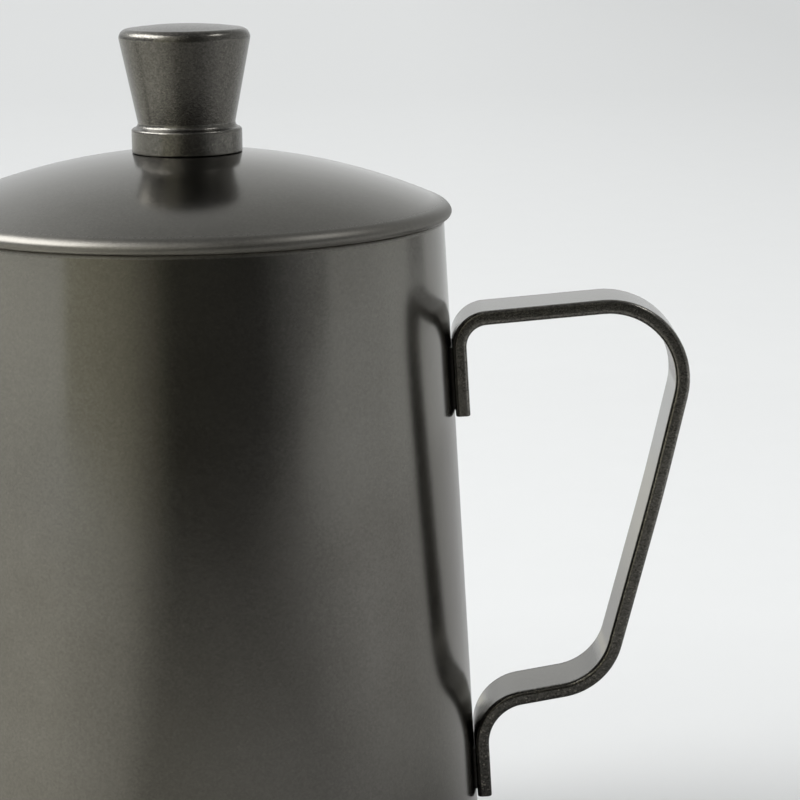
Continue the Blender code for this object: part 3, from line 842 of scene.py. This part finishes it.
def lid_cap():
    """The lid's sheet: hem, nose and brow of the rim, dome, and the seat with the screw's hole."""
    nose_r, nose_z = TOP_RADIUS + LID_OVERHANG - LID_NOSE, REST_GAP + LID_NOSE
    brow_r = nose_r - (LID_BROW - LID_NOSE) * math.cos(BROW_TURN)
    brow_z = nose_z - (LID_BROW - LID_NOSE) * math.sin(BROW_TURN)
    rise = NOSE_Z + DOME_RISE - brow_z
    dome = (brow_r**2 + rise**2 - LID_BROW**2) / (2 * (rise - LID_BROW))
    dome_z = NOSE_Z + DOME_RISE - dome
    edge = math.atan2(brow_z - dome_z, brow_r)
    seat = math.acos((KNOB_COLLAR_RADIUS - KNOB_SEAT_INSET) / dome)
    line = [(MOUTH_RADIUS + HEM_SETBACK, REST_GAP, 0.0)]
    line += arc(nose_r, nose_z, LID_NOSE, -math.pi / 2, BROW_TURN, ROUND_STEPS)
    line += arc(brow_r, brow_z, LID_BROW, BROW_TURN, edge, ROUND_STEPS)[1:]
    line += arc(0, dome_z, dome, edge, seat, DOME_ROWS)[1:]
    line.append((SCREW_HOLE_RADIUS, KNOB_SEAT_Z, 0.0))
    outline = sheet(line, LID_SHEET, LID_EDGE)
    obj = turned("cap", outline, LID_SIDES, LID_COAT, INSIDE, lift=LID_Z)
    finished("lid_cap", obj, "lid", "dark_coating", "lid_dome")


def lid_plug():
    """The ring that hangs in the mouth, with a flange held in the lid's folded rim."""
    radius = MOUTH_RADIUS - SKIRT_CLEARANCE
    flange_z = REST_GAP + LID_SHEET + REST_GAP
    under_dome = flange_z + SKIRT_SHEET + REST_GAP - DOME_CENTRE_Z
    under_dome_radius = math.sqrt((DOME_RADIUS - LID_SHEET) ** 2 - under_dome**2)
    line = [
        (radius, -SKIRT_DEPTH, 0.0),
        (radius, flange_z, SKIRT_BEND),
        (min(NOSE_CENTRE, under_dome_radius) - REST_GAP, flange_z, 0.0),
    ]
    obj = turned("plug", sheet(line, SKIRT_SHEET), LID_SIDES, INSIDE, lift=LID_Z)
    finished("lid_plug", obj, "lid", "bare_steel", "lid_skirt")


def knob():
    """The turned knob: collar, neck, cone, rounded crown, and a blind hole for the screw."""
    collar_top = KNOB_FOOT_Z + KNOB_COLLAR_HEIGHT
    neck_z = collar_top + KNOB_NECK_RISE
    top = KNOB_FOOT_Z + KNOB_HEIGHT
    crown_z = top - KNOB_CROWN_RISE
    cone = math.atan((KNOB_TOP_RADIUS - KNOB_NECK_RADIUS) / (crown_z - neck_z))
    crown_r = KNOB_TOP_RADIUS - KNOB_CROWN_ROUND * (1 + math.sin(cone)) / math.cos(cone)
    round_z = crown_z - KNOB_CROWN_ROUND
    crown_radius = (crown_r**2 + KNOB_CROWN_RISE**2) / (2 * KNOB_CROWN_RISE)
    start = math.acos(crown_r / crown_radius)
    crown = arc(crown_r, round_z, KNOB_CROWN_ROUND, -cone, math.pi / 2, ROUND_STEPS)
    crown += arc(0, top - crown_radius, crown_radius, start, math.pi / 2, CROWN_ROWS)[1:]
    corners = [
        (0.0, SCREW_TIP_Z + SCREW_TIP_ROOM, 0.0),
        (SCREW_HOLE_RADIUS, SCREW_TIP_Z + SCREW_TIP_ROOM, 0.0),
        (SCREW_HOLE_RADIUS, KNOB_SEAT_Z + TOUCH, CUT_EDGE),
        (KNOB_COLLAR_RADIUS, KNOB_SEAT_Z + TOUCH, CUT_EDGE / 2),
        (KNOB_COLLAR_RADIUS, collar_top, KNOB_COLLAR_ROUND),
        (KNOB_NECK_RADIUS, neck_z, KNOB_NECK_ROUND),
    ]
    outline = plain(corners + crown)
    obj = turned("knob", outline, KNOB_SIDES, KNOB_COAT, closed=False, lift=LID_Z)
    finished("knob", obj, "lid", "dark_coating", "lid_knob")


def washer(name, width, thickness, top):
    """A flat ring round the screw."""
    inner, outer = SCREW_HOLE_RADIUS, SCREW_HOLE_RADIUS + width
    corners = [(inner, top), (outer, top), (outer, top - thickness), (inner, top - thickness)]
    outline = plain([(r, z, WASHER_EDGE) for r, z in corners])
    return turned(name, outline, SMALL_SIDES, FASTENER, lift=LID_Z)


def plain_washer():
    """The whole ring against the lid's sheet."""
    obj = washer("plain_washer_ring", FLAT_WASHER_WIDTH, FLAT_WASHER_THICKNESS, FLAT_WASHER_TOP)
    finished("plain_washer", obj, "lid", "bare_steel", "knob_flat_washer")


def spring_washer():
    """The split ring: a plain ring with a wedge taken out."""
    obj = washer("spring_ring", LOCK_WASHER_WIDTH, LOCK_WASHER_THICKNESS, LOCK_WASHER_TOP)
    reach = 2 * (SCREW_HOLE_RADIUS + LOCK_WASHER_WIDTH)
    side = reach * math.tan(LOCK_WASHER_SPLIT / 2)
    low = LID_Z + LOCK_WASHER_TOP - 2 * LOCK_WASHER_THICKNESS
    high = LID_Z + LOCK_WASHER_TOP + LOCK_WASHER_THICKNESS
    corners = ((0, 0), (reach, -side), (reach, side))
    shape = prism(*([(x, y, z) for x, y in corners] for z in (low, high)))
    back = Matrix.Rotation(-LOCK_WASHER_SPLIT / 2, 3, "Z")
    bmesh.ops.rotate(shape, verts=shape.verts, matrix=back)
    wedge = linked("wedge", clean_mesh(mesh_of("wedge", shape)))
    finished("spring_washer", cut_with(obj, wedge), "lid", "bare_steel", "knob_lock_washer")


def under_screw():
    """The round-headed screw, head down, with a cross slot."""
    bottom = SCREW_HEAD_TOP - SCREW_HEAD_HEIGHT
    corners = [
        (0.0, SCREW_TIP_Z, 0.0),
        (SCREW_RADIUS, SCREW_TIP_Z, CUT_EDGE),
        (SCREW_RADIUS, SCREW_HEAD_TOP, 0.0),
        (SCREW_HEAD_RADIUS, SCREW_HEAD_TOP, CUT_EDGE),
        (SCREW_HEAD_RADIUS, bottom, SCREW_HEAD_ROUND),
        (0.0, bottom, 0.0),
    ]
    obj = turned("screw", plain(corners), SMALL_SIDES, FASTENER, closed=False, lift=LID_Z)
    size = (SCREW_SLOT_LENGTH, SCREW_SLOT_WIDTH, 2 * SCREW_SLOT_DEPTH)
    for turn in (0, math.pi / 2):
        shape = bmesh.new()
        bmesh.ops.create_cube(shape, size=1)
        bmesh.ops.scale(shape, verts=shape.verts, vec=size)
        bmesh.ops.rotate(shape, verts=shape.verts, matrix=Matrix.Rotation(turn, 3, "Z"))
        bmesh.ops.translate(shape, verts=shape.verts, vec=(0, 0, LID_Z + bottom))
        obj = cut_with(obj, linked("slot", mesh_of("slot", shape)))
    finished("under_screw", obj, "lid", "bare_steel", "knob_screw")


# Finishes


def coordinates(tree, kind="Object"):
    """Where a spot is, whole and in its parts."""
    where = place(tree, "ShaderNodeTexCoord").outputs[kind]
    return where, place(tree, "ShaderNodeSeparateXYZ", {"Vector": where}).outputs


def noise(tree, where, scale, detail, roughness=0.5):
    """Soft noise at a place."""
    inputs = {"Vector": where, "Scale": scale, "Detail": detail, "Roughness": roughness}
    return place(tree, "ShaderNodeTexNoise", inputs).outputs[0]


def bump(tree, height, distance, **normal):
    """The normal of a skin with a height."""
    inputs = {"Height": height, "Distance": distance, "Strength": 1.0, **normal}
    return place(tree, "ShaderNodeBump", inputs).outputs[0]


def mix_colour(tree, share, first, second):
    """A colour between two."""
    inputs = {"Factor": share, MIX_FIRST: first, MIX_SECOND: second}
    return place(tree, "ShaderNodeMix", inputs, data_type="RGBA").outputs[MIX_RESULT]


def coat_grain_group():
    """The coating's metal flecks, its cloudy depth and the slight waves of its skin."""
    sizes = {"Float": ("Fleck Size", "Cloud Size", "Wave Size")}
    masks = {"Float": ("Fleck", "Glint", "Cloud", "Wave")}
    group, given = new_tree("coat_grain", "ShaderNodeTree", sizes, masks)
    where = place(group, "ShaderNodeTexCoord").outputs["Object"]
    cell_scale = maths(group, "DIVIDE", 1.0, given["Fleck Size"])
    cells = place(group, "ShaderNodeTexVoronoi", {"Vector": where, "Scale": cell_scale})
    chance = place(group, "ShaderNodeSeparateColor", {"Color": cells.outputs["Color"]}).outputs
    fine_scale = maths(group, "DIVIDE", FINE_SHARE, given["Fleck Size"])
    fine = spread(group, noise(group, where, fine_scale, detail=2.0, roughness=0.6), *NOISE_RAMP)
    half_cells = times(group, chance["Red"], 0.5)
    fleck = plus(group, half_cells, times(group, fine, 0.5))
    cloud_scale = maths(group, "DIVIDE", 1.0, given["Cloud Size"])
    wave_scale = maths(group, "DIVIDE", 1.0, given["Wave Size"])
    made = {
        "Fleck": fleck,
        "Glint": spread(group, chance["Green"], *GLINT_RAMP),
        "Cloud": spread(group, noise(group, where, cloud_scale, detail=3.0), *NOISE_RAMP),
        "Wave": noise(group, where, wave_scale, detail=2.0, roughness=0.45),
    }
    place(group, "NodeGroupOutput", made)
    return group


def spun_lines_group():
    """Fine lines round the Z axis, as spinning and polishing leave on sheet."""
    masks = {"Float": ("Lines", "Smudge")}
    group, given = new_tree("spun_lines", "ShaderNodeTree", {"Float": ("Line Size",)}, masks)
    where, parts = coordinates(group)
    flat = place(group, "ShaderNodeCombineXYZ", {"X": parts["X"], "Y": parts["Y"]}).outputs[0]
    radius = vectors(group, "LENGTH", flat)
    across = place(group, "ShaderNodeCombineXYZ", {"X": radius, "Y": parts["Z"]}).outputs[0]
    line_scale = maths(group, "DIVIDE", 1.0, given["Line Size"])
    lines = spread(group, noise(group, across, line_scale, detail=4.0, roughness=0.7), *NOISE_RAMP)
    smudge = spread(group, noise(group, where, SMUDGE_SCALE, detail=4.0), *SMUDGE_RAMP)
    place(group, "NodeGroupOutput", {"Lines": lines, "Smudge": smudge})
    return group


def new_finish(name):
    """A new material, its tree and its shader."""
    material = bpy.data.materials.new(name)
    material.use_nodes = True
    return material, material.node_tree, material.node_tree.nodes["Principled BSDF"]


def coat_finish(
    name, shade, fleck_size, fleck_depth, glint, roughness, wave_height, pit_depth, trait=None
):
    """Dark warm grey baked coating with fine metal flecks.

    By its trait it is duller at a shoulder; duller at a hem, with painted light on the hem's shaded
    lower edge; or grainy on a strap's edges, with painted shade towards their lower end.
    """
    material, tree, shader = new_finish(name)
    sizes = {"Fleck Size": fleck_size, "Cloud Size": CLOUD_SIZE, "Wave Size": WAVE_SIZE}
    grain = place(tree, "ShaderNodeGroup", sizes, node_tree=COAT_GRAIN).outputs
    parts = coordinates(tree)[1]
    clouded = mix_colour(tree, grain["Cloud"], COAT_DARK, COAT_PALE)
    depth = spread(tree, grain["Fleck"], *FLECK_RANGE, -fleck_depth, fleck_depth)
    spark = times(tree, grain["Glint"], glint)
    pits = grain["Fleck"]
    if trait == "strap":
        edge = spread(tree, maths(tree, "ABSOLUTE", parts["Y"]), *STRAP_EDGE_RAMP)
        depth, spark, pits = (times(tree, part, edge) for part in (depth, spark, pits))
    level = times(tree, plus(tree, depth, 1.0), shade)
    # Painted shade: the strap's edges grow darker towards its lower end
    if trait == "strap":
        lower_shade = times(tree, edge, spread(tree, parts["Z"], *STRAP_LOWER_SHADE_RAMP))
        level = times(tree, level, maths(tree, "SUBTRACT", 1.0, lower_shade))
    colour = mix_colour(tree, spark, scaled(tree, clouded, level), GLINT_COLOUR)
    rough_range = (roughness - CLOUD_ROUGH, roughness + CLOUD_ROUGH)
    rough = spread(tree, grain["Cloud"], 0.0, 1.0, *rough_range)
    rough = plus(tree, rough, times(tree, grain["Fleck"], FLECK_ROUGH))
    if trait == "hem":
        # Painted light: the hem's shaded lower edge is lightened towards a pale colour
        hem_light = spread(tree, parts["Z"], *HEM_LIGHT_RAMP)
        colour = mix_colour(tree, hem_light, colour, HEM_LIGHT_COLOUR)
        rough = plus(tree, rough, spread(tree, parts["Z"], *HEM_ROUGH_RAMP))
    if trait == "strap":
        rough = plus(tree, rough, times(tree, edge, STRAP_EDGE_ROUGH))
    if trait == "shoulder":
        rough = plus(tree, rough, spread(tree, parts["Z"], *SHOULDER_ROUGH_RAMP))
    normal = bump(tree, pits, pit_depth, Normal=bump(tree, grain["Wave"], wave_height))
    look = {"Base Color": colour, "Roughness": rough, "Metallic": 1.0, "Normal": normal}
    feed(tree, shader, look)
    return material


def steel_finish(name, colour, line_size, roughness, line_depth):
    """Bare steel with fine lines round the axis and faint smudges."""
    material, tree, shader = new_finish(name)
    group = place(tree, "ShaderNodeGroup", {"Line Size": line_size}, node_tree=SPUN_LINES)
    lines, smudge = group.outputs["Lines"], group.outputs["Smudge"]
    dark = tuple(LINE_SHADE * part for part in colour)
    shade = mix_colour(tree, lines, (*dark, 1), (*colour, 1))
    line_rough = spread(tree, lines, 0.0, 1.0, roughness - LINE_ROUGH, roughness + LINE_ROUGH)
    rough = plus(tree, line_rough, times(tree, smudge, SMUDGE_ROUGH))
    normal = bump(tree, lines, line_depth)
    look = {"Base Color": shade, "Roughness": rough, "Metallic": 1.0, "Normal": normal}
    feed(tree, shader, look)
    return material


def floor_finish():
    """Pale matt table with painted shade: a little dimmer near the front, as the kettle's shadow,
    and far away and to the right, as light falling off.
    """
    material, tree, shader = new_finish("pale_table")
    where, parts = coordinates(tree)
    near = spread(tree, parts["Y"], *TABLE_NEAR_SHADE_RAMP)
    far = spread(tree, parts["Y"], *TABLE_FAR_SHADE_RAMP)
    right = spread(tree, parts["X"], *TABLE_RIGHT_SHADE_RAMP)
    level = times(tree, near, times(tree, far, right))
    mottle = noise(tree, where, MOTTLE_SCALE, detail=4.0)
    pale = mix_colour(tree, mottle, TABLE_DARK, TABLE_PALE)
    feed(tree, shader, {"Base Color": scaled(tree, pale, level), "Roughness": TABLE_ROUGH})
    return material


# Stage


def studio():
    """Camera, table, cards that only reflections show, three lights and a soft room."""
    photo_camera()
    table = table_top()
    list(dark_cards())
    light("left_window", "SUN", **WINDOW).visible_glossy = False
    light("left_strip", "AREA", shape="RECTANGLE", **STRIP).visible_diffuse = False
    light("right_softbox", "AREA", shape="RECTANGLE", **SOFTBOX)
    soft_room()


def photo_camera():
    """The camera that takes the photo's view."""
    data = bpy.data.cameras.new("photo_camera")
    put(data, sensor_width=SENSOR_WIDTH, lens=LENS_LENGTH, clip_start=NEAR_CLIP)
    camera = linked("photo_camera", data)
    yaw = Matrix.Rotation(-CAMERA_YAW, 4, "Z")
    turn = yaw @ Matrix.Rotation(math.pi / 2 - CAMERA_PITCH, 4, "X")
    roll = Matrix.Rotation(CAMERA_ROLL, 4, "Z")
    camera.matrix_world = Matrix.Translation(CAMERA_PLACE) @ turn @ roll
    bpy.context.scene.camera = camera


def table_top():
    """A wide round table just under the kettle."""
    shape = bmesh.new()
    under = Matrix.Translation((0.0, 0.0, -TOUCH))
    size = {"segments": TABLE_SIDES, "radius": TABLE_RADIUS}
    bmesh.ops.create_circle(shape, cap_ends=True, matrix=under, **size)
    mesh = mesh_of("table", shape)
    mesh.materials.append(floor_finish())
    return linked("table", mesh)


def soft_room():
    """Light all round: dimmer overhead, at the right and behind, brighter high at the left."""
    world = bpy.data.worlds.new("soft_room")
    bpy.context.scene.world = world
    world.use_nodes = True
    tree = world.node_tree
    parts = coordinates(tree, "Generated")[1]
    high = spread(tree, parts["Z"], *ROOM_HIGH_RAMP)
    top = spread(tree, parts["Z"], *ROOM_TOP_RAMP)
    left_rise = spread(tree, parts["Z"], *ROOM_LEFT_RISE_RAMP)
    left = times(tree, left_rise, spread(tree, parts["X"], *ROOM_LEFT_RAMP))
    right = spread(tree, parts["X"], *ROOM_RIGHT_RAMP)
    side = plus(tree, 1.0, maths(tree, "SUBTRACT", left, right))
    behind = spread(tree, parts["Y"], *ROOM_BEHIND_RAMP)
    height = plus(tree, high, top)
    level = times(tree, height, times(tree, side, behind))
    feed(tree, tree.nodes["Background"], {"Color": ROOM_COLOUR, "Strength": level})


def light(name, kind, direction, distance=0.0, **settings):
    """A light in a direction from the kettle's middle, facing it."""
    obj = linked(name, put(bpy.data.lights.new(name, kind), **settings))
    away = Vector(direction).normalized()
    spot = Vector((0.0, 0.0, BODY_HEIGHT / 2)) + away * distance
    turn = away.to_track_quat("Z", "Y").to_matrix().to_4x4()
    obj.matrix_world = Matrix.Translation(spot) @ turn
    return obj


def give_matt(tree, shader, red, green, blue):
    """Gives a card's shader its colour, with no shine."""
    colour = place(tree, "ShaderNodeCombineColor", {"Red": red, "Green": green, "Blue": blue})
    look = {"Base Color": colour.outputs[0], "Roughness": CARD_ROUGH, "Specular IOR Level": 0.0}
    feed(tree, shader, look)


def front_shade(name, near, far, left, right, turns, warmth):
    """Dark and warm in front of the kettle, paler to its sides."""
    material, tree, shader = new_finish(name)
    where, parts = coordinates(tree)
    turn = maths(tree, "ARCTAN2", parts["X"], times(tree, parts["Y"], -1.0))
    front = spread(tree, vectors(tree, "LENGTH", where), *FRONT_RANGE, near, far)
    far_left = spread(tree, turn, *FAR_LEFT_RANGE, FAR_LEFT_SHARE * left, 0.0)
    near_left = spread(tree, turn, *NEAR_LEFT_RANGE, NEAR_LEFT_SHARE * left, 0.0)
    to_left = plus(tree, far_left, near_left)
    to_right = spread(tree, turn, *(math.radians(end) for end in turns), 0.0, right)
    level = maths(tree, "MAXIMUM", front, plus(tree, to_left, to_right))
    red = spread(tree, turn, *WARM_RANGE, 1.0 + WARM_RED * warmth, 1.0)
    blue = spread(tree, turn, *WARM_RANGE, 1.0 - warmth, 1.0)
    red, blue = (times(tree, level, part) for part in (red, blue))
    give_matt(tree, shader, red, level, blue)
    return material


def left_white():
    """White, fading to the table's pale shade where the card begins."""
    material, tree, shader = new_finish("left_white")
    level = spread(tree, coordinates(tree)[1]["X"], *WHITE_RAMP)
    give_matt(tree, shader, level, level, times(tree, level, WHITE_BLUE))
    return material


def shade_card(name, finish, corners):
    """A flat card that only reflections show."""
    mesh = bpy.data.meshes.new(name)
    mesh.from_pydata(corners, [], [range(len(corners))])
    mesh.materials.append(finish)
    hidden = ("camera", "diffuse", "transmission", "shadow")
    return put(linked(name, mesh), **{"visible_" + ray: False for ray in hidden})


def dark_cards():
    """Two dark cards and a dark sheet of painted floor shade for the kettle to reflect, and a white
    card at its left.
    """
    lower, upper = ([(x, -CARD_DISTANCE, z) for x in CARD_ENDS] for z in CARD_HEIGHTS)
    near, far = ([(*spot, z) for z in SIDE_CARD_HEIGHTS] for spot in SIDE_CARD_ENDS)
    white = [(*spot, WHITE_CARD_Z) for spot in WHITE_CARD]
    # The sheet of painted floor shade: square in front, round behind
    ring = []
    for i in range(FLOOR_SHADE_SIDES):
        turn = FULL_TURN * i / FLOOR_SHADE_SIDES - math.pi
        square = CARD_DISTANCE / math.cos(min(max(turn, 0.0), FLOOR_SHADE_CORNER))
        fade = min(max((turn - FLOOR_SHADE_CORNER) / FLOOR_SHADE_FADE, 0.0), 1.0)
        reach = square + (CARD_DISTANCE - square) * fade
        ring.append((reach * math.sin(turn), -reach * math.cos(turn), FLOOR_SHADE_Z))
    return (
        shade_card("dark_card", front_shade("card_shade", **CARD_SHADE), lower + upper[::-1]),
        shade_card("side_card", front_shade("side_shade", **SIDE_SHADE), near + far[::-1]),
        shade_card("painted_floor_shade", front_shade("painted_floor_shade_finish", **FLOOR_SHADE_LEVELS), ring),
        shade_card("white_card", left_white(), white),
    )


TURNED = turned_tree()
STRAP = strap_tree()
SPOUT = spout_tree()
BEAD = bead_tree()
COAT_GRAIN = coat_grain_group()
SPUN_LINES = spun_lines_group()
# Shade, fleck size, fleck depth, glint, roughness, wave height, pit depth and trait of each coat
COAT = coat_finish("dark_coat", 1.0, 0.00030, 0.09, 0.06, 0.15, 3e-6, 1.5e-6, "shoulder")
LID_COAT = coat_finish("lid_coat", 1.0, 0.00030, 0.07, 0.05, 0.15, 3e-6, 1e-6, "hem")
STRAP_COAT = coat_finish("strap_coat", 1.0, 0.00022, 0.50, 0.60, 0.12, 4e-6, 10e-6, "strap")
KNOB_COAT = coat_finish("knob_coat", 0.80, 0.00024, 0.26, 0.20, 0.23, 6e-6, 14e-6)
# Painted shade: the pads' coat is darkened to the black of the crevice between tab and wall
PAD_SHADE_COAT = coat_finish("pad_shade_coat", 0.3, 0.00024, 0.20, 0.0, 0.35, 5e-6, 5e-6)
# Colour, line size, roughness and line depth of each bare steel
INSIDE = steel_finish("spun_steel", (0.56, 0.55, 0.53), 0.0004, 0.30, 4e-6)
FASTENER = steel_finish("screw_steel", (0.60, 0.60, 0.60), 0.0003, 0.26, 3e-6)

pot_shell()
pot_base()
pour_spout()
spout_weld()
grip_strap()
tab_pads()
lid_cap()
lid_plug()
knob()
plain_washer()
spring_washer()
under_screw()
studio()

bpy.context.scene.view_settings.view_transform = "Standard"
